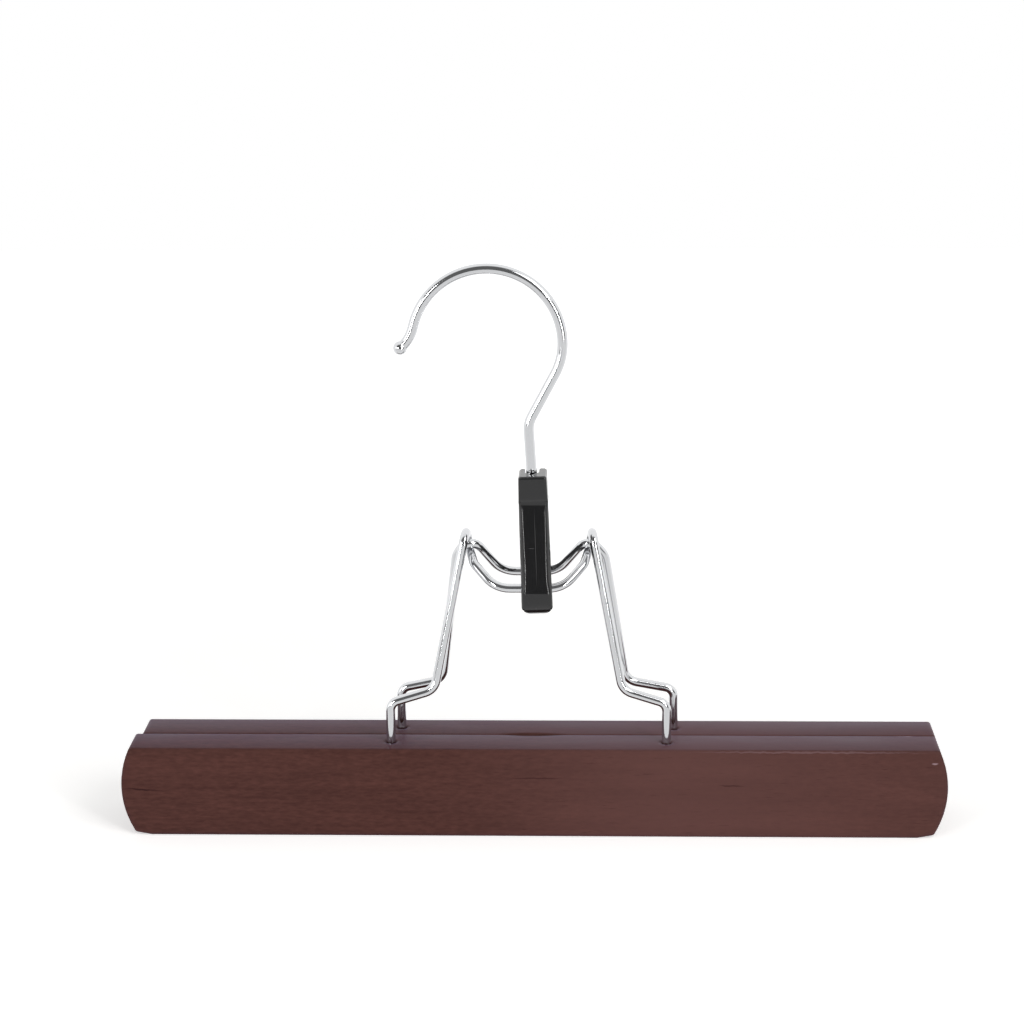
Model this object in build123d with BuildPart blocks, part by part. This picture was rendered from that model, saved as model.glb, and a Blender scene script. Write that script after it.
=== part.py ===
from build123d import *
from math import atan2, cos, degrees, radians, sin, sqrt, tan
import os

# Skirt hanger with a wooden clamp jaw. Millimetres, +Z up, +X along the bars, -Y is the front.
# Origin: middle of the closing plane, at the height of the bars' flat undersides.

# Wooden clamp bars
bar_length = 250.0
rear_bar_shortening = 2.0
rear_bar_shift = 1.0
bar_thickness = 15.0
bar_height = 27.6
rear_bar_drop = 0.5
bar_end_radius = 28.8
bar_end_crest = 15.3
bar_top_rounding = 1.0
bar_corner_lift = 0.9
bar_corner_run = 5.0
bar_corner_rounding = 1.2
bar_edge_rounding = 0.8
wood_gap = 0.4

# Relief ground into the inner top edges of both bars
relief_chord = 22.0
relief_depth = 1.5
relief_height = 6.8
relief_centre = -0.5

# Felt strips let into the inner faces
felt_end_margin = 7.0
felt_bottom = 5.0
felt_height = 15.0
felt_pocket_depth = 1.0

# Bent wires
frame_wire_diameter = 2.8
hook_wire_diameter = 3.2
loose_gap = 0.5
running_gap = 0.05

# Stub holes in the tops of the bars
stub_depth = 16.0
stub_gap = 0.1
stub_countersink = 0.35
stub_setback = 7.3

# Axis on which the two wire frames swing, above the bars, and the dips below it
pivot_rise = 60.5
dip_setback = 6.5
front_dip_drop = 12.2
rear_dip_lift = 1.7

# Front wire frame, half widths and heights of its bends
front_stub_half = 41.8
front_stub_centre = -1.3
front_stub_rise = 12.4
front_foot_half = 28.4
front_foot_rise = 16.5
front_foot_setback = 7.0
loop_centre = -1.0
loop_up_half = 19.2
loop_over_half = 18.8
loop_back_half = 18.4
loop_under_half = 16.6
loop_under_angle = 43.0
loop_under_length = 6.5
loop_bend_share = 0.97
front_dip_half = 10.2
front_dip_centre = -0.8
front_foot_bend = 5.0
stub_bend = 3.0
loop_exit_bend = 4.0
front_dip_bend = 9.0

# Rear wire frame
rear_stub_half = 41.9
rear_stub_centre = 1.0
rear_stub_rise = 12.3
rear_foot_half = 28.1
rear_foot_centre = 0.1
rear_foot_rise = 15.2
rear_foot_setback = 7.0
rear_shoulder_half = 22.4
rear_shoulder_centre = -0.6
rear_shoulder_drop = 3.8
rear_shoulder_setback = 0.4
rear_peak_half = 17.9
rear_dip_half = 8.6
rear_foot_bend = 5.0
rear_shoulder_bend = 5.0
rear_peak_bend = 3.6
rear_dip_bend = 8.0

# Hook
hook_eye_centre = 1.5
eye_joggle_radius = 2.2
eye_wrap_angle = 275.0
stem_upright_rise = 9.8
stem_lean_angle = 3.4
stem_bend_radius = 60.0
stem_length = 35.1
neck_radius = 8.0
neck_angle = 31.5
neck_run = 14.6
shank_radius = 18.9
crown_radius = 22.2
crown_angle = 167.2
flare_radius = 11.1
flare_angle = 38.0
ball_diameter = 4.2

# Moulded lock lever
lever_lean_angle = 1.75
lever_front = 13.2
lever_top_above_pin = 35.9
lever_block_height = 8.8
lever_block_depth = 11.5
lever_bottom_below_pin = 7.4
lever_top_width = 8.4
lever_lip_width = 8.8
lever_waist_width = 9.5
lever_waist_above_pin = 7.6
lever_nose_width = 9.8
lever_paddle_recess = 0.8
lever_paddle_lap = 1.6
lever_paddle_lap_depth = 3.0
lever_paddle_lap_inset = 0.3
lever_nose_radius = 5.0
lever_nose_corner = 4.3
lever_heel_setback = 5.0
lever_spine_setback = 4.6
lever_spine_foot_above_pin = 13.0
lever_spine_top_drop = 6.0
lever_spine_rounding = 3.0
lever_block_root = 2.6
lever_cheek_drop = 1.0
lever_heel_rounding = 2.0
lever_cheek_half = 4.0
lever_channel_half = 2.1
lever_wall_gap = 0.3
lever_wire_gap = 0.4
lever_slot_half = 2.1
lever_slot_mouth_half = 2.8
lever_slot_mouth_depth = 1.2
lever_notch_half = 0.7
lever_notch_depth = 1.0
lever_pin_wall = 2.0
lever_arm_thickness = 3.2
lever_claw_angle = 21.4
lever_claw_reach_below_wire = 2.0
lever_claw_tip = 1.4
lever_edge_rounding = 1.9
lever_lip_edge_rounding = 1.0
lever_block_corner = 0.7
lever_block_rounding = 0.5
lever_chin_rounding = 3.0
lever_arm_rounding = 1.5

overrun = 1.0

# Sizes that follow from those above
rear_bar_length = bar_length - rear_bar_shortening
rear_bar_height = bar_height - rear_bar_drop
pivot_height = bar_height + pivot_rise
front_dip_height = pivot_height - front_dip_drop
rear_dip_height = front_dip_height + rear_dip_lift
stem_upright_top = front_dip_height + stem_upright_rise
frame_wire_radius = frame_wire_diameter / 2
hook_wire_radius = hook_wire_diameter / 2
wood_face = wood_gap / 2
stub_offset = wood_face + stub_setback
stub_foot_height = bar_height - stub_depth
loop_radius = frame_wire_diameter + loose_gap
eye_radius = frame_wire_radius + running_gap + hook_wire_radius


def clamp_bar(length, height, shift, side, stub_places):
    """One wooden bar; side is -1 in front and +1 behind."""
    crest_to_top = height - bar_end_crest
    crest_to_corner = bar_end_crest - bar_corner_lift
    top_inset = bar_end_radius - sqrt(bar_end_radius**2 - crest_to_top**2)
    corner_inset = bar_end_radius - sqrt(bar_end_radius**2 - crest_to_corner**2)
    foot_inset = corner_inset + bar_corner_run
    half = length / 2
    inner_plane = Plane.XZ.offset(-side * wood_face)
    with BuildPart() as bar:
        with BuildSketch(inner_plane) as end_shape:
            with BuildLine():
                top = Line((shift - half + top_inset, height), (shift + half - top_inset, height))
                right = ThreePointArc(
                    top @ 1, (shift + half, bar_end_crest), (shift + half - corner_inset, bar_corner_lift))
                bottom = Polyline(
                    right @ 1, (shift + half - foot_inset, 0),
                    (shift - half + foot_inset, 0), (shift - half + corner_inset, bar_corner_lift))
                ThreePointArc(bottom @ 1, (shift - half, bar_end_crest), top @ 0)
            make_face()
            fillet(end_shape.vertices().group_by(Axis.Y)[-1], bar_top_rounding)
            fillet(end_shape.vertices().group_by(Axis.Y)[1], bar_corner_rounding)
        extrude(amount=-side * bar_thickness)
        fillet(bar.faces().filter_by(Axis.Y).edges(), bar_edge_rounding)

        # pocket for the felt strip
        felt_length = length - 2 * felt_end_margin
        with BuildSketch(inner_plane.offset(side * overrun)):
            with Locations((shift, felt_bottom + felt_height / 2)):
                Rectangle(felt_length, felt_height)
        extrude(amount=-side * (felt_pocket_depth + overrun), mode=Mode.SUBTRACT)

        # shallow curved relief in the inner top edge
        relief_radius = (relief_chord**2 / 4 + relief_depth**2) / (2 * relief_depth)
        relief_axis = side * (wood_face + relief_depth - relief_radius)
        with BuildSketch(Plane.XY.offset(height - relief_height)):
            with Locations((relief_centre, relief_axis)):
                Circle(relief_radius)
        extrude(amount=relief_height + overrun, mode=Mode.SUBTRACT)

        # stub holes, with the broken edge that shows as a dark ring
        hole_radius = frame_wire_radius + stub_gap
        with Locations(*[(x, side * stub_offset, height) for x in stub_places]):
            CounterSinkHole(hole_radius, hole_radius + stub_countersink, stub_depth)
    return bar


def felt_strip(length, shift, side):
    """Felt strip that fills its pocket and meets the other one at the closing plane."""
    with BuildPart() as strip:
        with BuildSketch(Plane.XZ):
            with Locations((shift, felt_bottom + felt_height / 2)):
                Rectangle(length - 2 * felt_end_margin, felt_height)
        extrude(amount=-side * (felt_pocket_depth + wood_face))
    return strip


def bent_wire(points, bends):
    """Round wire along straight runs joined by tangent bends."""
    with BuildPart() as wire:
        with BuildLine() as route:
            FilletPolyline(*points, radius=bends)
        with BuildSketch(Plane(origin=route.line @ 0, z_dir=route.line % 0)):
            Circle(frame_wire_radius)
        sweep()
    return wire


def bend_crown(before, corner, after, bend):
    """Highest point of the bend that rounds a corner of a wire."""
    run_in = (corner - before).normalized()
    run_out = (after - corner).normalized()
    half_turn = radians(run_in.get_angle(run_out)) / 2
    inward = (run_out - run_in).normalized()
    centre = corner + inward * (bend / cos(half_turn))
    start = corner - run_in * (bend * tan(half_turn))
    spoke = (start - centre).normalized()
    angle = atan2(run_in.Z, spoke.Z)
    return centre + (spoke * cos(angle) + run_in * sin(angle)) * bend


def front_bends(side):
    """Corners of one half of the front wire, from its stub to its dip."""
    slope = radians(loop_under_angle)
    back_height = pivot_height - loop_radius * tan(slope / 2)
    return [
        (front_stub_centre + side * front_stub_half, -stub_offset, stub_foot_height),
        (front_stub_centre + side * front_stub_half, -stub_offset, bar_height + front_stub_rise),
        (front_stub_centre + side * front_foot_half, -front_foot_setback, bar_height + front_foot_rise),
        (loop_centre + side * loop_up_half, -loop_radius, pivot_height + loop_radius),
        (loop_centre + side * loop_over_half, loop_radius, pivot_height + loop_radius),
        (loop_centre + side * loop_back_half, loop_radius, back_height),
        (loop_centre + side * loop_under_half,
         loop_radius - loop_under_length * sin(slope), back_height - loop_under_length * cos(slope)),
        (front_dip_centre + side * front_dip_half, -dip_setback, front_dip_height),
    ]


def rear_bends(side):
    """Corners of one half of the rear wire; its peak bend crowns on the pivot axis."""
    shoulder = Vector(
        rear_shoulder_centre + side * rear_shoulder_half, rear_shoulder_setback,
        pivot_height - rear_shoulder_drop)
    dip = Vector(loop_centre + side * rear_dip_half, dip_setback, rear_dip_height)
    peak = Vector(loop_centre + side * rear_peak_half, 0, pivot_height)
    for _ in range(12):
        crown = bend_crown(shoulder, peak, dip, rear_peak_bend)
        peak = peak - Vector(0, crown.Y, crown.Z - pivot_height)
    return [
        Vector(rear_stub_centre + side * rear_stub_half, stub_offset, stub_foot_height),
        Vector(rear_stub_centre + side * rear_stub_half, stub_offset, bar_height + rear_stub_rise),
        Vector(rear_foot_centre + side * rear_foot_half, rear_foot_setback, bar_height + rear_foot_rise),
        shoulder, peak, dip,
    ]


# Wooden bars and felt strips
front_stubs = [front_stub_centre - front_stub_half, front_stub_centre + front_stub_half]
rear_stubs = [rear_stub_centre - rear_stub_half, rear_stub_centre + rear_stub_half]
front_bar = clamp_bar(bar_length, bar_height, 0, -1, front_stubs)
rear_bar = clamp_bar(rear_bar_length, rear_bar_height, rear_bar_shift, 1, rear_stubs)
front_felt_pad = felt_strip(bar_length, 0, -1)
rear_felt_pad = felt_strip(rear_bar_length, rear_bar_shift, 1)

# Wire frames: each is one length of wire, bent alike on both sides
loop_bend = loop_radius * loop_bend_share
front_radii = [
    stub_bend, front_foot_bend, loop_bend, loop_bend, loop_bend, loop_exit_bend, front_dip_bend]
rear_radii = [stub_bend, rear_foot_bend, rear_shoulder_bend, rear_peak_bend, rear_dip_bend]
front_wire_frame = bent_wire(front_bends(-1) + front_bends(1)[::-1], front_radii + front_radii[::-1])
rear_wire_frame = bent_wire(rear_bends(-1) + rear_bends(1)[::-1], rear_radii + rear_radii[::-1])

# Hook: an eye round the front dip, a leaning stem, a neck bend, the crown and a flared ball tip
eye_plane = Plane.YZ.offset(hook_eye_centre)
hook_plane = Plane.XZ.offset(dip_setback)
joggle_height = sqrt(2 * eye_joggle_radius * eye_radius + eye_radius**2)
stem_foot_height = front_dip_height + joggle_height
with BuildPart() as hook:
    with BuildLine(eye_plane) as eye:
        joggle = JernArc(
            (-dip_setback, stem_foot_height), (0, -1),
            eye_joggle_radius, degrees(atan2(joggle_height, eye_joggle_radius)))
        JernArc(joggle @ 1, joggle % 1, eye_radius, -eye_wrap_angle)
    with BuildLine(hook_plane) as shank:
        upright = Line((hook_eye_centre, stem_foot_height), (hook_eye_centre, stem_upright_top))
        lean = JernArc(upright @ 1, upright % 1, stem_bend_radius, stem_lean_angle)
        stem = Line(lean @ 1, lean @ 1 + (lean % 1) * stem_length)
        neck = JernArc(stem @ 1, stem % 1, neck_radius, -neck_angle)
        run = Line(neck @ 1, neck @ 1 + (neck % 1) * neck_run)
        lower_arc = JernArc(run @ 1, run % 1, shank_radius, neck_angle - stem_lean_angle)
        crown = JernArc(lower_arc @ 1, lower_arc % 1, crown_radius, crown_angle)
        flare = JernArc(crown @ 1, crown % 1, flare_radius, -flare_angle)
    hook_route = Wire(eye.edges() + shank.edges())
    with BuildSketch(Plane(origin=hook_route @ 0, z_dir=hook_route % 0)):
        Circle(hook_wire_radius)
    sweep(path=hook_route)
    with Locations(flare @ 1):
        Sphere(ball_diameter / 2)

# Lock lever, drawn in planes that lean with it and share its pin axis.
# Heights in its outline are above the pin; the rear wire lies in its two claws.
lean_cos, lean_sin = cos(radians(lever_lean_angle)), sin(radians(lever_lean_angle))
pin_point = (hook_eye_centre, 0, front_dip_height)
lever_side = Plane(origin=pin_point, x_dir=(0, 1, 0), z_dir=(lean_cos, 0, lean_sin))
lever_face = Plane(origin=pin_point, x_dir=(lean_cos, 0, lean_sin), z_dir=(0, -1, 0))
lever_cross = Plane(origin=pin_point, x_dir=(lean_cos, 0, lean_sin), z_dir=(-lean_sin, 0, lean_cos))
lever_lip = lever_top_above_pin - lever_block_height
block_rear = lever_block_depth - lever_front
paddle_face = lever_paddle_recess - lever_front
wire_rise = rear_dip_height - front_dip_height
claw_gap_radius = frame_wire_radius + lever_wire_gap
claw_slope = radians(lever_claw_angle)
claw_face_y = dip_setback + claw_gap_radius * cos(claw_slope)
claw_face_z = wire_rise + claw_gap_radius * sin(claw_slope)
claw_tip_z = wire_rise - lever_claw_reach_below_wire
claw_tip_y = claw_face_y + (claw_face_z - claw_tip_z) * tan(claw_slope)
claw_back_y = claw_tip_y + lever_claw_tip
arm_under_z = wire_rise + claw_gap_radius
arm_top_z = arm_under_z + lever_arm_thickness
cheek_rear = frame_wire_radius + running_gap + lever_pin_wall - dip_setback
well_radius = eye_radius + hook_wire_radius + lever_wall_gap
channel_top = lever_lip - lever_block_root
lap_top = lever_lip + lever_paddle_lap
lap_rear = paddle_face + lever_paddle_lap_depth
lever_sections = [
    (-lever_bottom_below_pin, lever_nose_width, lever_edge_rounding),
    (lever_nose_radius - lever_bottom_below_pin, lever_nose_width, lever_edge_rounding),
    (lever_waist_above_pin, lever_waist_width, lever_edge_rounding),
    (lever_lip, lever_lip_width, lever_lip_edge_rounding),
    (lap_top, lever_lip_width - 2 * lever_paddle_lap_inset, lever_lip_edge_rounding),
]
half_turn = radians(90 + lever_claw_angle) / 2 - claw_slope
stem_lean_start = stem_upright_top + stem_bend_radius * tan(radians(stem_lean_angle) / 2)
block_middle = lever_top_above_pin - lever_block_height / 2
stem_offset = (block_middle * tan(radians(lever_lean_angle))
               - (front_dip_height + block_middle - stem_lean_start) * tan(radians(stem_lean_angle)))

# Block at the lever's top: soft corners, broken top edges, and a chin that curves back to the paddle
chamfer_foot = lever_top_above_pin - lever_block_rounding
block_sections = [
    (lever_lip, lever_lip_width, 0),
    (chamfer_foot, lever_top_width, 0),
    (lever_top_above_pin, lever_top_width, lever_block_rounding),
]
with BuildPart() as top_block:
    for height, width, inset in block_sections:
        with BuildSketch(lever_cross.offset(height)):
            with Locations((0, (block_rear - lever_front) / 2)):
                RectangleRounded(width - 2 * inset, lever_block_depth - 2 * inset, lever_block_corner)
    loft(ruled=True)
    with BuildSketch(lever_side):
        with BuildLine():
            chin = CenterArc(
                (lever_chin_rounding - lever_front, lever_lip + lever_chin_rounding),
                lever_chin_rounding, 180, 90)
            Polyline(
                chin @ 1, (lever_chin_rounding - lever_front, lever_lip - overrun),
                (-lever_front - overrun, lever_lip - overrun),
                (-lever_front - overrun, lever_lip + lever_chin_rounding), chin @ 0)
        make_face()
    extrude(amount=lever_nose_width, both=True, mode=Mode.SUBTRACT)

with BuildPart() as lock_lever:
    # plan sections with rounded front edges, wider towards the nose
    for height, width, rounding in lever_sections:
        with BuildSketch(lever_cross.offset(height)):
            with BuildLine():
                FilletPolyline(
                    (-width / 2, paddle_face), (width / 2, paddle_face),
                    (width / 2, claw_back_y), (-width / 2, claw_back_y),
                    radius=[rounding, rounding, 0, 0], close=True)
            make_face()
    loft(ruled=True)

    # side outline of the paddle: spine, arm with its claw, heel and nose
    with BuildSketch(lever_side):
        with BuildLine():
            FilletPolyline(
                (dip_setback, arm_under_z), (cheek_rear, arm_under_z),
                (cheek_rear, -lever_cheek_drop), (-lever_heel_setback, -lever_bottom_below_pin),
                (paddle_face, -lever_bottom_below_pin), (paddle_face, lap_top),
                (lap_rear, lap_top), (lap_rear, lever_lip),
                (block_rear, lever_lip), (block_rear, channel_top),
                (-lever_spine_setback, lever_lip - lever_spine_top_drop),
                (-lever_spine_setback, lever_spine_foot_above_pin),
                (claw_back_y, arm_top_z), (claw_back_y, claw_tip_z),
                (claw_tip_y, claw_tip_z), (claw_face_y, claw_face_z),
                radius=[
                    lever_arm_rounding, lever_arm_rounding, lever_heel_rounding,
                    lever_nose_radius, 0, 0, 0, 0, 0, lever_spine_rounding, lever_spine_rounding,
                    lever_arm_rounding, 0, 0])
            ThreePointArc(
                (claw_face_y, claw_face_z),
                (dip_setback + claw_gap_radius * sin(half_turn),
                 wire_rise + claw_gap_radius * cos(half_turn)),
                (dip_setback, arm_under_z))
        make_face()
    extrude(amount=lever_nose_width, both=True, mode=Mode.INTERSECT)

    # rounded corners of the nose, seen from the front
    with BuildSketch(lever_face):
        with BuildLine():
            FilletPolyline(
                (-lever_nose_width / 2, -lever_bottom_below_pin),
                (lever_nose_width / 2, -lever_bottom_below_pin),
                (lever_nose_width / 2, lap_top), (-lever_nose_width / 2, lap_top),
                radius=[lever_nose_corner, lever_nose_corner, 0, 0], close=True)
        make_face()
    extrude(amount=lever_front + overrun, both=True, mode=Mode.INTERSECT)

    add(top_block.part)

    # the cheeks behind the paddle are narrower than it
    for outward in (-1, 1):
        with BuildSketch(lever_side.offset(outward * lever_cheek_half)):
            with BuildLine():
                Polyline(
                    (-dip_setback - well_radius, lever_lip), (claw_back_y + overrun, lever_lip),
                    (claw_back_y + overrun, -lever_bottom_below_pin - overrun),
                    (-dip_setback - well_radius, -lever_bottom_below_pin - overrun), close=True)
            make_face()
        extrude(amount=outward * lever_nose_width / 2, mode=Mode.SUBTRACT)

    # channel for the stem and the well round its eye
    channel_end = claw_back_y + overrun
    with BuildSketch(lever_side):
        with Locations((-dip_setback, 0)):
            Circle(well_radius)
        with BuildLine():
            Polyline(
                (-dip_setback - well_radius, 0), (-dip_setback - well_radius, channel_top),
                (channel_end, channel_top), (channel_end, -lever_bottom_below_pin - overrun),
                (-dip_setback, -lever_bottom_below_pin - overrun), (-dip_setback, 0), close=True)
        make_face()
    extrude(amount=lever_channel_half, both=True, mode=Mode.SUBTRACT)

    # slot that snaps over the stem, open to the rear, with a flared mouth and a notch in front
    slot_end = -dip_setback - lever_slot_half
    with BuildSketch(lever_cross.offset(channel_top - overrun)):
        with Locations((stem_offset, -dip_setback)):
            Circle(lever_slot_half)
        with BuildLine():
            Polyline(
                (stem_offset - lever_slot_half, -dip_setback),
                (stem_offset - lever_slot_half, block_rear - lever_slot_mouth_depth),
                (stem_offset - lever_slot_mouth_half, block_rear),
                (stem_offset - lever_slot_mouth_half, block_rear + overrun),
                (stem_offset + lever_slot_mouth_half, block_rear + overrun),
                (stem_offset + lever_slot_mouth_half, block_rear),
                (stem_offset + lever_slot_half, block_rear - lever_slot_mouth_depth),
                (stem_offset + lever_slot_half, -dip_setback), close=True)
        make_face()
        with Locations((stem_offset, slot_end)):
            Rectangle(2 * lever_notch_half, 2 * lever_notch_depth)
    extrude(amount=lever_block_height + lever_block_root + 2 * overrun, mode=Mode.SUBTRACT)

    # pin hole through both cheeks, on the wire's true axis
    with BuildSketch(Plane.YZ.offset(hook_eye_centre)):
        with Locations((-dip_setback, front_dip_height)):
            Circle(frame_wire_radius + running_gap)
    extrude(amount=lever_nose_width, both=True, mode=Mode.SUBTRACT)

# Write each piece as its own file
os.makedirs("parts", exist_ok=True)

front_bar.part.label = "front_bar"
export_step(front_bar.part, "parts/front_bar.step")

rear_bar.part.label = "rear_bar"
export_step(rear_bar.part, "parts/rear_bar.step")

front_felt_pad.part.label = "front_felt_pad"
export_step(front_felt_pad.part, "parts/front_felt_pad.step")

rear_felt_pad.part.label = "rear_felt_pad"
export_step(rear_felt_pad.part, "parts/rear_felt_pad.step")

front_wire_frame.part.label = "front_wire_frame"
export_step(front_wire_frame.part, "parts/front_wire_frame.step")

rear_wire_frame.part.label = "rear_wire_frame"
export_step(rear_wire_frame.part, "parts/rear_wire_frame.step")

hook.part.label = "hook"
export_step(hook.part, "parts/hook.step")

lock_lever.part.label = "lock_lever"
export_step(lock_lever.part, "parts/lock_lever.step")
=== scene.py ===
import math
import bpy
from mathutils import Matrix, Vector


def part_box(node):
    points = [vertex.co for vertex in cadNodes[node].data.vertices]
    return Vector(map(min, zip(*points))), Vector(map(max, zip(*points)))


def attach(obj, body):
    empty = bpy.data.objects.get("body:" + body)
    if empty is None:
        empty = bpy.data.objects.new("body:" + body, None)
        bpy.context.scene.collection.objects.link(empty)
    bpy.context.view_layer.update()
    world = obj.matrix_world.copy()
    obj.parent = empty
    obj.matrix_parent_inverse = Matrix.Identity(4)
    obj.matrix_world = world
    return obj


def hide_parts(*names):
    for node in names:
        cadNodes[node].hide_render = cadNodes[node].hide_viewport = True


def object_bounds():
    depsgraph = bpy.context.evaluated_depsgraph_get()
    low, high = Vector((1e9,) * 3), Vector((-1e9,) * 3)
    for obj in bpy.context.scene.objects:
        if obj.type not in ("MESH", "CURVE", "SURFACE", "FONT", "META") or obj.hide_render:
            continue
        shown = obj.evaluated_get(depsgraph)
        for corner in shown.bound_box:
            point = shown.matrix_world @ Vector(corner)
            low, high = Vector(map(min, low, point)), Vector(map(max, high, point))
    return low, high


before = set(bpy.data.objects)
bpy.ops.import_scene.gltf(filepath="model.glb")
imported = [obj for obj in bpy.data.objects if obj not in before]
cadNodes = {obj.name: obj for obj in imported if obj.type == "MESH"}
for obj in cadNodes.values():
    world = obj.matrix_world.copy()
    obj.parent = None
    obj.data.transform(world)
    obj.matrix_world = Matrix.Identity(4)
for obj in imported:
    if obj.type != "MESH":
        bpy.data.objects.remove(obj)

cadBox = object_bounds()
scene = bpy.context.scene
mm = 0.001

# The Mix node's sockets go by number, because its number and colour sockets share their names
mixFactor, numberA, numberB, colourA, colourB, colourOut = 0, 2, 3, 6, 7, 2


def toLinear(hexColour):
    channels = [int(hexColour[i:i + 2], 16) / 255 for i in (0, 2, 4)]
    return [c / 12.92 if c <= 0.04045 else ((c + 0.055) / 1.055) ** 2.4 for c in channels] + [1.0]


# A socket is set to a plain value, or linked where it is given another node's output
def addNode(tree, kind, sockets=None, **settings):
    made = tree.nodes.new(kind)
    for name, value in settings.items():
        setattr(made, name, value)
    for socket, value in (sockets or {}).items():
        if isinstance(value, bpy.types.NodeSocket):
            tree.links.new(value, made.inputs[socket])
        else:
            made.inputs[socket].default_value = value
    return made.outputs


def newMaterial(name):
    material = bpy.data.materials.new(name)
    material.use_nodes = True
    material.node_tree.nodes.clear()
    return material, material.node_tree


# Streaks or specks with their own length, depth and height in mm
def surfacePattern(tree, place, pattern):
    scaled = addNode(tree, "ShaderNodeMapping", {
        "Vector": place, "Scale": [1 / (s * mm) for s in pattern["size"]]})
    return addNode(tree, "ShaderNodeTexNoise", {
        "Vector": scaled[0], "Scale": 1.0, "Detail": pattern["detail"],
        "Roughness": pattern.get("roughness", 0.5), "Distortion": pattern.get("distortion", 0.0)})[0]


markCore = 0.4  # share of a mark's half size that has its full strength


# A soft ellipse on a piece: its place and half sizes in mm, and its lean in degrees, seen from the front
def surfaceMark(tree, place, mark):
    local = addNode(tree, "ShaderNodeMapping", {
        "Vector": place, "Location": [v * mm for v in mark["at"]], "Scale": [v * mm for v in mark["half"]],
        "Rotation": (0, math.radians(mark["lean"]), 0)}, vector_type="TEXTURE")[0]
    reach = addNode(tree, "ShaderNodeVectorMath", {0: local}, operation="LENGTH")["Value"]
    return addNode(tree, "ShaderNodeMapRange", {
        "Value": reach, "From Min": markCore, "From Max": 1.0, "To Min": mark["strength"], "To Max": 0.0},
        interpolation_type="SMOOTHSTEP")[0]


# Camera fitted to the photograph
photoView = {
    "turn": 1.993, "rise": 14.325, "tilt": -0.448,  # degrees
    "distance": 0.79994, "aim": (-0.005992, -0.002, 0.098338),
    "lens": 93.99, "sensor": 36.0, "clip": (0.01, 50),
}


def addCamera(view):
    turn, rise, tilt = (math.radians(view[k]) for k in ("turn", "rise", "tilt"))
    back = Vector((math.sin(turn) * math.cos(rise), -math.cos(turn) * math.cos(rise), math.sin(rise)))
    right = Vector((math.cos(turn), math.sin(turn), 0))
    up = back.cross(right)
    tiltedRight = right * math.cos(tilt) + up * math.sin(tilt)
    tiltedUp = up * math.cos(tilt) - right * math.sin(tilt)
    data = bpy.data.cameras.new("photoCamera")
    data.lens = view["lens"]
    data.sensor_width = view["sensor"]
    data.clip_start, data.clip_end = view["clip"]
    camera = bpy.data.objects.new("photoCamera", data)
    scene.collection.objects.link(camera)
    turned = Matrix((tiltedRight, tiltedUp, back)).transposed().to_4x4()
    camera.matrix_world = Matrix.Translation(Vector(view["aim"]) + back * view["distance"]) @ turned
    scene.camera = camera


addCamera(photoView)
print("camera placed")

# Stained beech under satin lacquer, planed and sanded: short flecks over long faint grain, a few dark
# hairline checks, edges eased by hand, and a cool sheen at a low angle. The pores are drawn about
# three times as wide as real ones, so that they show
stainedBeech = {
    "tones": ((0.3, "422722"), (0.5, "4c2f29"), (0.7, "55352f")),  # from the deep grain to the light
    "grain": {"size": (45, 3.0, 1.8), "detail": 4, "roughness": 0.6, "distortion": 0.3},
    "fleck": {"size": (2.6, 1.2, 0.8), "detail": 2}, "fleckShare": 0.58,
    "band": {"size": (60, 16, 9), "detail": 3, "distortion": 0.6},
    "bandShadeRange": (0.35, 0.7), "bandShade": (0.93, 1.07),
    "pore": {"size": (5, 0.5, 0.3), "detail": 2}, "poreRange": (0.66, 0.76), "poreDepth": 0.4,
    "dark": "2c1513", "paler": "5c3e3a", "palerPlaces": (-40, 50, 120), "palerShares": (0.8, 0.5),
    "glossRange": (0.3, 0.7), "roughness": (0.35, 0.48), "specular": 0.06,
    "sheen": 0.09, "sheenRoughness": 0.5, "sheenTint": "a48cf4",
    "easedEdge": 2.4, "edgeSamples": 8,
    "barMiddle": 7.7, "crownRadius": 55.6,  # the top and bottom faces are slightly round
    "relief": 0.1, "reliefStrength": 0.15, "wanderSize": 2.0, "wander": 0.7,
    "checks": [
        {"at": (-117.8, -14.9, 15.0), "half": (6.2, 1.2, 0.34), "lean": 5, "strength": 0.85},
        {"at": (1.2, -14.9, 19.2), "half": (10.0, 1.2, 0.3), "lean": 0, "strength": 0.55},
        {"at": (60.3, -14.9, 16.9), "half": (4.8, 1.2, 0.3), "lean": 0, "strength": 0.6}],
    # two pale scuffs, and one painted highlight along the front bar's top edge
    "scuffsAndEdgeHighlight": [
        {"at": (121.0, -14.9, 24.2), "half": (1.3, 1.2, 0.4), "lean": -6, "strength": 0.6},
        # painted highlight along the right part of the front bar's top edge
        {"at": (84.0, -14.9, 27.6), "half": (42.0, 1.2, 0.34), "lean": 0, "strength": 0.16},
        {"at": (113.5, -0.4, 27.6), "half": (3.6, 0.9, 0.9), "lean": 0, "strength": 0.7}],
    "scuffAndHighlightColour": "a58c92",
}


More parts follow.
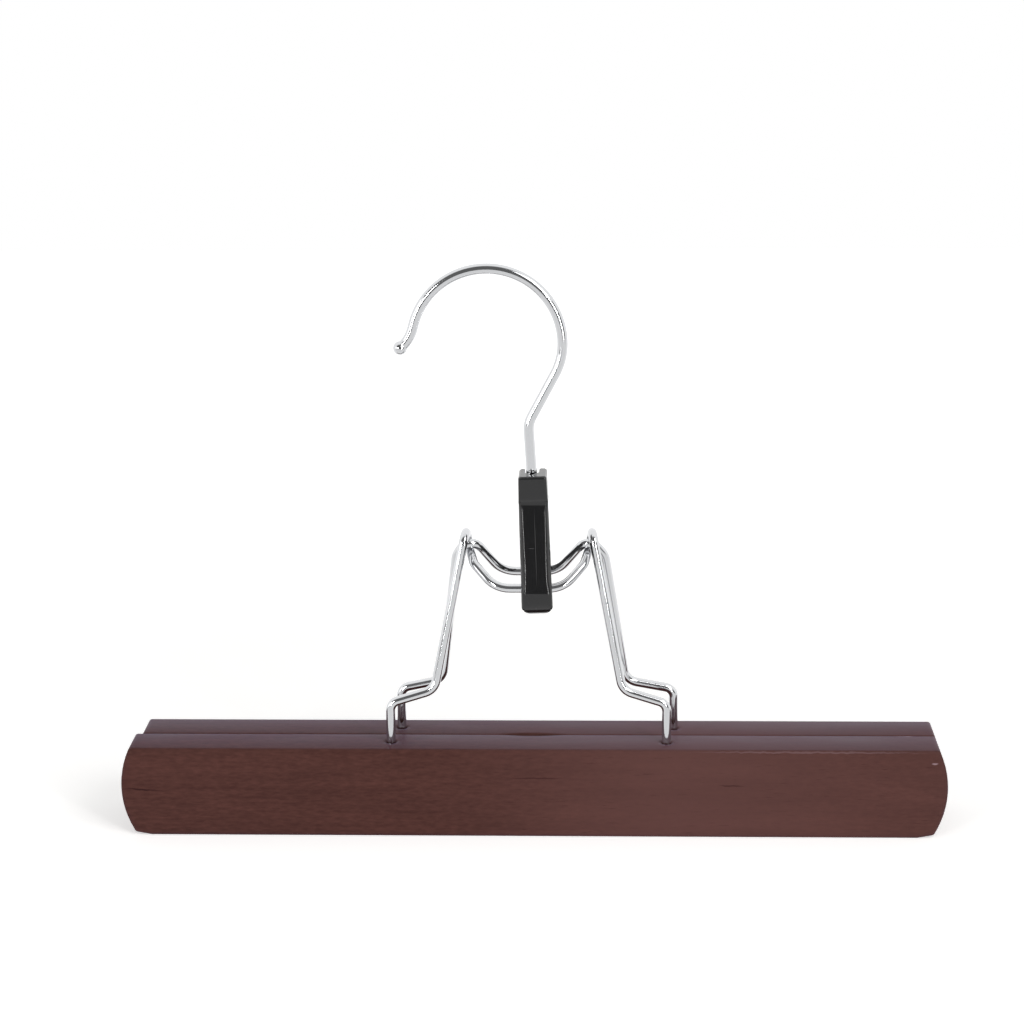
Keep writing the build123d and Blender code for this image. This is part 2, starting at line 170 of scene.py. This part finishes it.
def makeStainedBeech(spec):
    material, tree = newMaterial("satinLacqueredStainedBeech")
    place = addNode(tree, "ShaderNodeTexCoord")["Object"]
    axes = addNode(tree, "ShaderNodeSeparateXYZ", {"Vector": place})
    grain = surfacePattern(tree, place, spec["grain"])
    flecks = surfacePattern(tree, place, spec["fleck"])
    bands = surfacePattern(tree, place, spec["band"])
    blend = addNode(tree, "ShaderNodeMix", {
        mixFactor: spec["fleckShare"], numberA: grain, numberB: flecks}, data_type="FLOAT")[0]
    ramp = addNode(tree, "ShaderNodeValToRGB", {"Fac": blend})["Color"]
    stops = ramp.node.color_ramp.elements
    stops.new(1.0)
    for stop, (position, tone) in zip(stops, spec["tones"]):
        stop.position = position
        stop.color = toLinear(tone)

    # paler to the right of the middle
    palerStart, palerMost, palerEnd = (v * mm for v in spec["palerPlaces"])
    mostShare, endShare = spec["palerShares"]
    rising = addNode(tree, "ShaderNodeMapRange", {
        "Value": axes["X"], "From Min": palerStart, "From Max": palerMost,
        "To Min": 0.0, "To Max": mostShare}, interpolation_type="SMOOTHSTEP")[0]
    falling = addNode(tree, "ShaderNodeMapRange", {
        "Value": axes["X"], "From Min": palerMost, "From Max": palerEnd,
        "To Min": 1.0, "To Max": endShare}, interpolation_type="SMOOTHSTEP")[0]
    paler = addNode(tree, "ShaderNodeMath", {0: rising, 1: falling}, operation="MULTIPLY")[0]
    colour = addNode(tree, "ShaderNodeMix", {
        mixFactor: paler, colourA: ramp, colourB: toLinear(spec["paler"])}, data_type="RGBA")[colourOut]

    # broad bands of shade, then the pores
    bandLow, bandHigh = spec["bandShadeRange"]
    shadeLow, shadeHigh = spec["bandShade"]
    shade = addNode(tree, "ShaderNodeMapRange", {
        "Value": bands, "From Min": bandLow, "From Max": bandHigh,
        "To Min": shadeLow, "To Max": shadeHigh})[0]
    colour = addNode(tree, "ShaderNodeMix", {
        mixFactor: 1.0, colourA: colour, colourB: shade},
        data_type="RGBA", blend_type="MULTIPLY")[colourOut]
    poreLow, poreHigh = spec["poreRange"]
    pores = addNode(tree, "ShaderNodeMapRange", {
        "Value": surfacePattern(tree, place, spec["pore"]),
        "From Min": poreLow, "From Max": poreHigh, "To Min": 0.0, "To Max": spec["poreDepth"]})[0]
    colour = addNode(tree, "ShaderNodeMix", {
        mixFactor: pores, colourA: colour, colourB: toLinear(spec["dark"])}, data_type="RGBA")[colourOut]

    # checks, scuffs and a painted highlight along the front top edge, with slightly ragged outlines
    ragged = addNode(tree, "ShaderNodeTexNoise", {
        "Vector": place, "Scale": 1 / (spec["wanderSize"] * mm), "Detail": 1.0})["Color"]
    wandered = addNode(tree, "ShaderNodeVectorMath", {
        0: ragged, 1: [spec["wander"] * mm] * 3, 2: place}, operation="MULTIPLY_ADD")[0]
    markColours = [(check, spec["dark"]) for check in spec["checks"]]
    markColours += [(scuffOrHighlight, spec["scuffAndHighlightColour"]) for scuffOrHighlight in spec["scuffsAndEdgeHighlight"]]
    for mark, markColour in markColours:
        colour = addNode(tree, "ShaderNodeMix", {
            mixFactor: surfaceMark(tree, wandered, mark),
            colourA: colour, colourB: toLinear(markColour)}, data_type="RGBA")[colourOut]

    # eased edges, crowned faces and the relief of the grain
    eased = addNode(tree, "ShaderNodeBevel", {
        "Radius": spec["easedEdge"] * mm}, samples=spec["edgeSamples"])[0]
    fromFront = addNode(tree, "ShaderNodeMath", {0: axes["Y"]}, operation="ABSOLUTE")[0]
    fromMiddle = addNode(tree, "ShaderNodeMath", {
        0: fromFront, 1: spec["barMiddle"] * mm}, operation="SUBTRACT")[0]
    fall = addNode(tree, "ShaderNodeMath", {0: fromMiddle, 1: fromMiddle}, operation="MULTIPLY")[0]
    crown = addNode(tree, "ShaderNodeBump", {
        "Strength": 1.0, "Distance": 1 / (2 * spec["crownRadius"] * mm), "Height": fall, "Normal": eased},
        invert=True)[0]
    relief = addNode(tree, "ShaderNodeBump", {
        "Strength": spec["reliefStrength"], "Distance": spec["relief"] * mm,
        "Height": blend, "Normal": crown})[0]

    glossLow, glossHigh = spec["glossRange"]
    smoothest, roughest = spec["roughness"]
    roughness = addNode(tree, "ShaderNodeMapRange", {
        "Value": bands, "From Min": glossLow, "From Max": glossHigh,
        "To Min": smoothest, "To Max": roughest})[0]
    shader = addNode(tree, "ShaderNodeBsdfPrincipled", {
        "Base Color": colour, "Roughness": roughness, "Normal": relief,
        "Specular IOR Level": spec["specular"], "Sheen Weight": spec["sheen"],
        "Sheen Roughness": spec["sheenRoughness"], "Sheen Tint": toLinear(spec["sheenTint"])})[0]
    addNode(tree, "ShaderNodeOutputMaterial", {"Surface": shader})
    return material


# Bright chrome over drawn steel wire: a mirror, with the faintest haze where the plating is thin
chromeWire = {
    "colour": "cfd0d2", "haze": {"size": (1.1, 1.1, 1.1), "detail": 3},
    "hazeRange": (0.3, 0.7), "roughness": (0.08, 0.14),
}


def makeChrome(spec):
    material, tree = newMaterial("brightChromePlatedSteel")
    place = addNode(tree, "ShaderNodeTexCoord")["Object"]
    hazeLow, hazeHigh = spec["hazeRange"]
    smoothest, roughest = spec["roughness"]
    roughness = addNode(tree, "ShaderNodeMapRange", {
        "Value": surfacePattern(tree, place, spec["haze"]),
        "From Min": hazeLow, "From Max": hazeHigh, "To Min": smoothest, "To Max": roughest})[0]
    shader = addNode(tree, "ShaderNodeBsdfPrincipled", {
        "Base Color": toLinear(spec["colour"]), "Metallic": 1.0, "Roughness": roughness})[0]
    addNode(tree, "ShaderNodeOutputMaterial", {"Surface": shader})
    return material


# Moulded black ABS: a low gloss skin with slow flow swirls, the parting line and a small mark of its
# mould, and the mould's spark-eroded grit, drawn coarser than it is so that it shows
blackAbs = {
    "colour": "161617", "swirl": {"size": (3.0, 3.0, 3.0), "detail": 2}, "swirlRange": (0.3, 0.7),
    "swirlShade": (0.96, 1.04), "roughness": (0.12, 0.17), "crispEdge": 0.7, "edgeSamples": 8,
    "grit": {"size": (0.35, 0.35, 0.35), "detail": 2}, "gritDepth": 0.05, "gritStrength": 0.1,
    # the thumb rest leans back from its foot to its head, and its rims roll over beyond its flat middle
    "restHeights": (75.8, 103.0), "restCentres": (1.44, 0.71), "restDepth": 4.1,
    "flatHalf": 2.5, "rimRadius": 4.35, "rimStarts": 5.0, "rimEnds": 2.0,
    "mouldMarks": [
        {"at": (1.25, -12.4, 90.0), "half": (0.12, 2.0, 14.0), "lean": -1.6, "strength": 0.5},
        {"at": (0.05, -12.4, 89.8), "half": (1.1, 2.0, 0.14), "lean": 0, "strength": 0.5}],
    "markColour": "5a5a5a",
}


def makeBlackAbs(spec):
    material, tree = newMaterial("mouldedBlackAbs")
    place = addNode(tree, "ShaderNodeTexCoord")["Object"]
    axes = addNode(tree, "ShaderNodeSeparateXYZ", {"Vector": place})
    swirl = surfacePattern(tree, place, spec["swirl"])
    swirlLow, swirlHigh = spec["swirlRange"]
    crisp = addNode(tree, "ShaderNodeBevel", {
        "Radius": spec["crispEdge"] * mm}, samples=spec["edgeSamples"])[0]

    # how far a point lies beyond the rest's flat middle
    foot, head = (v * mm for v in spec["restHeights"])
    footCentre, headCentre = (v * mm for v in spec["restCentres"])
    centre = addNode(tree, "ShaderNodeMapRange", {
        "Value": axes["Z"], "From Min": foot, "From Max": head,
        "To Min": footCentre, "To Max": headCentre}, clamp=False)[0]
    offset = addNode(tree, "ShaderNodeMath", {0: axes["X"], 1: centre}, operation="SUBTRACT")[0]
    aside = addNode(tree, "ShaderNodeMath", {0: offset}, operation="ABSOLUTE")[0]
    beyond = addNode(tree, "ShaderNodeMath", {0: aside, 1: spec["flatHalf"] * mm}, operation="SUBTRACT")[0]
    outside = addNode(tree, "ShaderNodeMath", {0: beyond, 1: 0.0}, operation="MAXIMUM")[0]
    squared = addNode(tree, "ShaderNodeMath", {0: outside, 1: outside}, operation="MULTIPLY")[0]

    # the rims fade out into the foot and the head
    belowHead = addNode(tree, "ShaderNodeMapRange", {
        "Value": axes["Z"], "From Min": head - spec["rimEnds"] * mm, "From Max": head,
        "To Min": 1.0, "To Max": 0.0}, interpolation_type="SMOOTHSTEP")[0]
    aboveFoot = addNode(tree, "ShaderNodeMapRange", {
        "Value": axes["Z"], "From Min": foot, "From Max": foot + spec["rimStarts"] * mm,
        "To Min": 0.0, "To Max": 1.0}, interpolation_type="SMOOTHSTEP")[0]
    onRest = addNode(tree, "ShaderNodeMath", {0: belowHead, 1: aboveFoot}, operation="MULTIPLY")[0]
    fall = addNode(tree, "ShaderNodeMath", {0: squared, 1: onRest}, operation="MULTIPLY")[0]
    rims = addNode(tree, "ShaderNodeBump", {
        "Strength": 1.0, "Distance": 1 / (2 * spec["rimRadius"] * mm), "Height": fall, "Normal": crisp},
        invert=True)[0]
    slope = addNode(tree, "ShaderNodeMapRange", {
        "Value": axes["Z"], "From Min": foot, "From Max": head, "To Min": 1.0, "To Max": 0.0})[0]
    leaning = addNode(tree, "ShaderNodeBump", {
        "Strength": 1.0, "Distance": spec["restDepth"] * mm, "Height": slope, "Normal": rims})[0]
    gritty = addNode(tree, "ShaderNodeBump", {
        "Strength": spec["gritStrength"], "Distance": spec["gritDepth"] * mm,
        "Height": surfacePattern(tree, place, spec["grit"]), "Normal": leaning})[0]

    shadeLow, shadeHigh = spec["swirlShade"]
    shade = addNode(tree, "ShaderNodeMapRange", {
        "Value": swirl, "From Min": swirlLow, "From Max": swirlHigh,
        "To Min": shadeLow, "To Max": shadeHigh})[0]
    colour = addNode(tree, "ShaderNodeMix", {
        mixFactor: 1.0, colourA: toLinear(spec["colour"]), colourB: shade},
        data_type="RGBA", blend_type="MULTIPLY")[colourOut]
    for mark in spec["mouldMarks"]:
        colour = addNode(tree, "ShaderNodeMix", {
            mixFactor: surfaceMark(tree, place, mark),
            colourA: colour, colourB: toLinear(spec["markColour"])}, data_type="RGBA")[colourOut]
    smoothest, roughest = spec["roughness"]
    roughness = addNode(tree, "ShaderNodeMapRange", {
        "Value": swirl, "From Min": swirlLow, "From Max": swirlHigh,
        "To Min": smoothest, "To Max": roughest})[0]
    shader = addNode(tree, "ShaderNodeBsdfPrincipled", {
        "Base Color": colour, "Roughness": roughness, "Normal": gritty})[0]
    addNode(tree, "ShaderNodeOutputMaterial", {"Surface": shader})
    return material


# Needled wool felt: matt and fuzzy, its tangled fibres drawn a little coarse so that they show
woolFelt = {
    "colour": "241a19", "fibre": "3a2b29",
    "tangle": {"size": (0.5, 0.5, 0.5), "detail": 6, "roughness": 0.7, "distortion": 1.5},
    "tangleRange": (0.35, 0.7), "fuzz": 0.2, "fuzzStrength": 0.5,
    "roughness": 0.95, "specular": 0.2, "sheen": 0.2, "sheenRoughness": 0.5,
}


def makeFelt(spec):
    material, tree = newMaterial("needledWoolFelt")
    place = addNode(tree, "ShaderNodeTexCoord")["Object"]
    tangle = surfacePattern(tree, place, spec["tangle"])
    tangleLow, tangleHigh = spec["tangleRange"]
    fibres = addNode(tree, "ShaderNodeMapRange", {
        "Value": tangle, "From Min": tangleLow, "From Max": tangleHigh, "To Min": 0.0, "To Max": 1.0})[0]
    colour = addNode(tree, "ShaderNodeMix", {
        mixFactor: fibres, colourA: toLinear(spec["colour"]), colourB: toLinear(spec["fibre"])},
        data_type="RGBA")[colourOut]
    fuzzy = addNode(tree, "ShaderNodeBump", {
        "Strength": spec["fuzzStrength"], "Distance": spec["fuzz"] * mm, "Height": tangle})[0]
    shader = addNode(tree, "ShaderNodeBsdfPrincipled", {
        "Base Color": colour, "Roughness": spec["roughness"], "Normal": fuzzy,
        "Specular IOR Level": spec["specular"], "Sheen Weight": spec["sheen"],
        "Sheen Roughness": spec["sheenRoughness"]})[0]
    addNode(tree, "ShaderNodeOutputMaterial", {"Surface": shader})
    return material


finishes = {
    "stained_wood": makeStainedBeech(stainedBeech),
    "chromed_wire": makeChrome(chromeWire),
    "black_plastic": makeBlackAbs(blackAbs),
    "felt": makeFelt(woolFelt),
}
wears = {
    "front_bar": "stained_wood", "rear_bar": "stained_wood",
    "front_wire_frame": "chromed_wire", "rear_wire_frame": "chromed_wire", "hook": "chromed_wire",
    "lock_lever": "black_plastic",
}
for nodeName, finish in wears.items():
    for materialSlot in cadNodes[nodeName].material_slots:
        materialSlot.material = finishes[finish]
print("wood, wire and plastic dressed")

# Felt strips: die cut, so the edges are crisp, but the face is full and a little uneven
feltStrip = {
    "corner": 0.3, "cornerSteps": 3, "inset": 0.1, "cuts": 96, "rows": 6,
    "fluff": 0.05, "fluffSize": 4.0, "fill": 0.95, "smoothAngle": 50,
}


def makeFeltStrip(nodeName, body, pieceName):
    low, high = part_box(nodeName)
    inset = feltStrip["inset"] * mm
    size = [high[i] - low[i] - 2 * inset for i in range(3)]
    bpy.ops.object.select_all(action="DESELECT")
    bpy.ops.mesh.primitive_cube_add(size=1, location=(low + high) / 2, scale=size)
    strip = bpy.context.object
    strip.name = pieceName
    bpy.ops.object.transform_apply(location=True, rotation=True, scale=True)
    bpy.ops.object.mode_set(mode="EDIT")
    bpy.ops.mesh.select_all(action="SELECT")
    bpy.ops.mesh.bevel(offset=feltStrip["corner"] * mm, segments=feltStrip["cornerSteps"], affect="EDGES")

    # cut along its length and its height, so that the face has points to swell
    for axis, count in ((0, feltStrip["cuts"]), (2, feltStrip["rows"])):
        normal = [1.0 if i == axis else 0.0 for i in range(3)]
        for cut in range(1, count):
            point = [low[i] + (high[i] - low[i]) * cut / count if i == axis else 0.0 for i in range(3)]
            bpy.ops.mesh.select_all(action="SELECT")
            bpy.ops.mesh.bisect(plane_co=point, plane_no=normal)
    bpy.ops.object.mode_set(mode="OBJECT")
    cloud = bpy.data.textures.new(pieceName + "Fluff", "CLOUDS")
    cloud.noise_scale = feltStrip["fluffSize"] * mm
    swell = strip.modifiers.new("fluff", "DISPLACE")
    swell.texture = cloud
    swell.texture_coords = "LOCAL"
    swell.strength = feltStrip["fluff"] * mm
    swell.mid_level = 0.5
    bpy.ops.object.modifier_apply(modifier="fluff")
    bpy.ops.object.shade_smooth_by_angle(angle=math.radians(feltStrip["smoothAngle"]))
    strip.data.materials.append(finishes["felt"])
    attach(strip, body)
    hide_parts(nodeName)


makeFeltStrip("front_felt_pad", "front_jaw", "frontFeltStrip")
makeFeltStrip("rear_felt_pad", "rear_jaw", "rearFeltStrip")
print("felt strips laid in")

# Pale table, white surroundings, and a dim room in front of them that the chrome mirrors
studio = {
    "white": "ffffff", "floorColour": "f2f1ef", "floorSize": (2.4, 2.1), "floorFront": -0.95,
    "glowPlaces": (0.2, 0.55), "glow": (0.46, 1.0),  # what the camera sees of the table brightens outwards
    "shinePlaces": (-0.15, 0.1), "tableShine": 0.97, "whiteShine": 1.2,  # what the chrome sees of it
    "roomPlaces": (-0.55, -0.2), "roomDark": 0.15, "sky": 0.4,
}


def addFloor(spec):
    bpy.ops.object.select_all(action="DESELECT")
    wide, deep = spec["floorSize"]
    bpy.ops.mesh.primitive_plane_add(size=1, location=(0, spec["floorFront"] + deep / 2, cadBox[0].z))
    floor = bpy.context.object
    floor.name = "paleFloor"
    floor.scale = (wide, deep, 1)
    bpy.ops.object.transform_apply(location=True, rotation=True, scale=True)
    material, tree = newMaterial("paleStudioPaper")
    rays = addNode(tree, "ShaderNodeLightPath")
    place = addNode(tree, "ShaderNodeTexCoord")["Object"]
    white = toLinear(spec["white"])

    # seen directly it is paper with a glow that fades into the white beyond it
    glowStart, glowEnd = spec["glowPlaces"]
    glowNear, glowFar = spec["glow"]
    reach = addNode(tree, "ShaderNodeVectorMath", {0: place}, operation="LENGTH")["Value"]
    rise = addNode(tree, "ShaderNodeMapRange", {
        "Value": reach, "From Min": glowStart, "From Max": glowEnd, "To Min": glowNear, "To Max": glowFar},
        interpolation_type="SMOOTHSTEP")[0]
    shown = addNode(tree, "ShaderNodeMath", {
        0: rays["Is Camera Ray"], 1: rays["Is Transmission Ray"]}, operation="MAXIMUM")[0]
    strength = addNode(tree, "ShaderNodeMath", {0: shown, 1: rise}, operation="MULTIPLY")[0]
    paper = addNode(tree, "ShaderNodeBsdfDiffuse", {"Color": toLinear(spec["floorColour"])})[0]
    glow = addNode(tree, "ShaderNodeEmission", {"Color": white, "Strength": strength})[0]
    seen = addNode(tree, "ShaderNodeAddShader", {0: paper, 1: glow})[0]

    # in a reflection it is an even white, brighter behind the hanger
    shineStart, shineEnd = spec["shinePlaces"]
    away = addNode(tree, "ShaderNodeSeparateXYZ", {"Vector": place})["Y"]
    shine = addNode(tree, "ShaderNodeMapRange", {
        "Value": away, "From Min": shineStart, "From Max": shineEnd,
        "To Min": spec["tableShine"], "To Max": spec["whiteShine"]}, interpolation_type="SMOOTHSTEP")[0]
    mirrored = addNode(tree, "ShaderNodeEmission", {"Color": white, "Strength": shine})[0]
    surface = addNode(tree, "ShaderNodeMixShader", {0: rays["Is Glossy Ray"], 1: seen, 2: mirrored})[0]
    addNode(tree, "ShaderNodeOutputMaterial", {"Surface": surface})
    floor.data.materials.append(material)


def setWorld(spec):
    world = bpy.data.worlds.new("whiteStudio")
    world.use_nodes = True
    tree = world.node_tree
    tree.nodes.clear()
    rays = addNode(tree, "ShaderNodeLightPath")
    direction = addNode(tree, "ShaderNodeTexCoord")["Generated"]
    ahead = addNode(tree, "ShaderNodeSeparateXYZ", {"Vector": direction})["Y"]
    roomEnd, whiteStart = spec["roomPlaces"]
    mirrored = addNode(tree, "ShaderNodeMapRange", {
        "Value": ahead, "From Min": roomEnd, "From Max": whiteStart,
        "To Min": spec["roomDark"], "To Max": spec["whiteShine"]}, interpolation_type="SMOOTHSTEP")[0]
    lit = addNode(tree, "ShaderNodeMix", {
        mixFactor: rays["Is Glossy Ray"], numberA: spec["sky"], numberB: mirrored}, data_type="FLOAT")[0]
    shown = addNode(tree, "ShaderNodeMath", {
        0: rays["Is Camera Ray"], 1: rays["Is Transmission Ray"]}, operation="MAXIMUM")[0]
    strength = addNode(tree, "ShaderNodeMix", {
        mixFactor: shown, numberA: lit, numberB: 1.0}, data_type="FLOAT")[0]
    sky = addNode(tree, "ShaderNodeBackground", {"Color": toLinear(spec["white"]), "Strength": strength})[0]
    addNode(tree, "ShaderNodeOutputWorld", {"Surface": sky})
    scene.world = world


lamps = {
    "keyLamp": {"at": (0.95, -1.05, 1.15), "size": (0.8, 0.8), "watts": 10.2},
    "fillLamp": {"at": (-1.35, -0.75, 0.4), "size": (0.5, 0.7), "watts": 2.5},
    "leftStrip": {"at": (-0.5, -0.8, 0.25), "size": (0.04, 0.46), "watts": 2.1},
    "rightStrip": {"at": (0.5, -0.8, 0.25), "size": (0.04, 0.46), "watts": 2.1},
}
lampAim = Vector((0, 0, 0.08))


def addLamp(name, spec):
    data = bpy.data.lights.new(name, "AREA")
    data.shape = "RECTANGLE"
    data.size, data.size_y = spec["size"]
    data.energy = spec["watts"]
    lamp = bpy.data.objects.new(name, data)
    scene.collection.objects.link(lamp)
    lamp.location = spec["at"]
    lamp.rotation_euler = (lampAim - lamp.location).to_track_quat("-Z", "Y").to_euler()


addFloor(studio)
setWorld(studio)
for lampName, lampSpec in lamps.items():
    addLamp(lampName, lampSpec)
scene.view_settings.view_transform = "Standard"
print("studio lit")
